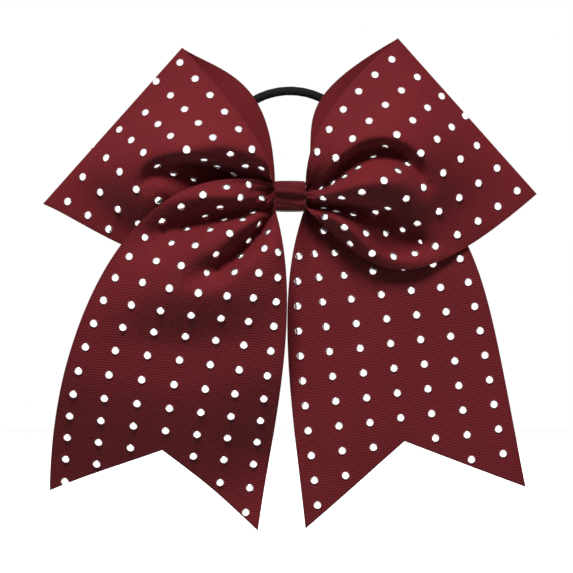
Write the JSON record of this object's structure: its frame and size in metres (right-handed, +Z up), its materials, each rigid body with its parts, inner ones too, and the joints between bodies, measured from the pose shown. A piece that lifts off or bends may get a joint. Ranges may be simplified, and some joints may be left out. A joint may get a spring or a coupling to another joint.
{
  "type": "cheer hair bow",
  "caption": "Wide studded ribbon folded into two flaring loops and two notched tails, gathered at a wrapped knot, with an elastic band behind for a ponytail",
  "frame": {"origin": "centre of the flat back of the knot, where it rests against the hair at the ponytail", "axes": "+Z up with the tails hanging down, the front of the bow faces -Y, +X is the wearer's left seen from behind the wearer's head as a viewer's right"},
  "size_m": [0.1752, 0.0331, 0.1755],
  "materials": {
    "ribbon": "maroon ribbed grosgrain, matt with a slight sheen",
    "wrap_ribbon": "narrow maroon grosgrain, matt",
    "thread": "maroon polyester thread",
    "glue": "cloudy hot-melt glue",
    "studs": "polished silver, pressed dome",
    "elastic": "black braided cover over a rubber core",
    "crimp": "plain metal sleeve"
  },
  "bodies": {
    "knot": {"knot_wrap": "wrap_ribbon", "wrap_glue": "glue", "binding_thread": "thread", "waist_front_pass": "ribbon", "waist_middle_pass": "ribbon", "waist_back_pass": "ribbon"},
    "left_wing": {"left_loop_front": "ribbon", "left_loop_back": "ribbon", "left_tail_root": "ribbon", "left_loop_front_studs": "studs", "left_loop_back_studs": "studs", "left_tail_root_studs": "studs"},
    "right_wing": {"right_loop_front": "ribbon", "right_loop_back": "ribbon", "right_tail_root": "ribbon", "right_loop_front_studs": "studs", "right_loop_back_studs": "studs", "right_tail_root_studs": "studs"},
    "left_tail": {"left_tail": "ribbon", "left_tail_studs": "studs"},
    "right_tail": {"right_tail": "ribbon", "right_tail_studs": "studs"},
    "band": {"band_foot": "elastic", "band_crimp": "crimp", "band_left_strand": "elastic", "band_right_strand": "elastic"},
    "bight": {"band_bight": "elastic"}
  },
  "joints": [
    {"name": "left_wing_swing", "type": "hinge", "parent": "knot", "child": "left_wing", "pos_m": [-0.0062, -0.01207, 0], "axis": [0, 0, 1], "range_deg": [0, 12], "stiffness_Nm_per_rad": 0.002},
    {"name": "right_wing_swing", "type": "hinge", "parent": "knot", "child": "right_wing", "pos_m": [0.0062, -0.01207, 0], "axis": [0, 0, -1], "range_deg": [0, 12], "stiffness_Nm_per_rad": 0.002},
    {"name": "left_tail_flap", "type": "hinge", "parent": "left_wing", "child": "left_tail", "pos_m": [-0.045, -0.03057, -0.03788], "axis": [1, 0, 0], "range_deg": [-40, 40], "stiffness_Nm_per_rad": 0.0004},
    {"name": "right_tail_flap", "type": "hinge", "parent": "right_wing", "child": "right_tail", "pos_m": [0.036, -0.01307, -0.03788], "axis": [1, 0, 0], "range_deg": [-40, 40], "stiffness_Nm_per_rad": 0.0004},
    {"name": "band_tilt", "type": "hinge", "parent": "knot", "child": "band", "pos_m": [0, -0.00342, 0], "axis": [-1, 0, 0], "range_deg": [0, 100], "stiffness_Nm_per_rad": 0.0008, "springref_deg": -11.46},
    {"name": "band_stretch", "type": "slide", "parent": "band", "child": "bight", "axis": [0, 0, 1], "range_m": [0, 0.02], "stiffness_N_per_m": 100, "deforming": ["band_left_strand", "band_right_strand"]}
  ]
}
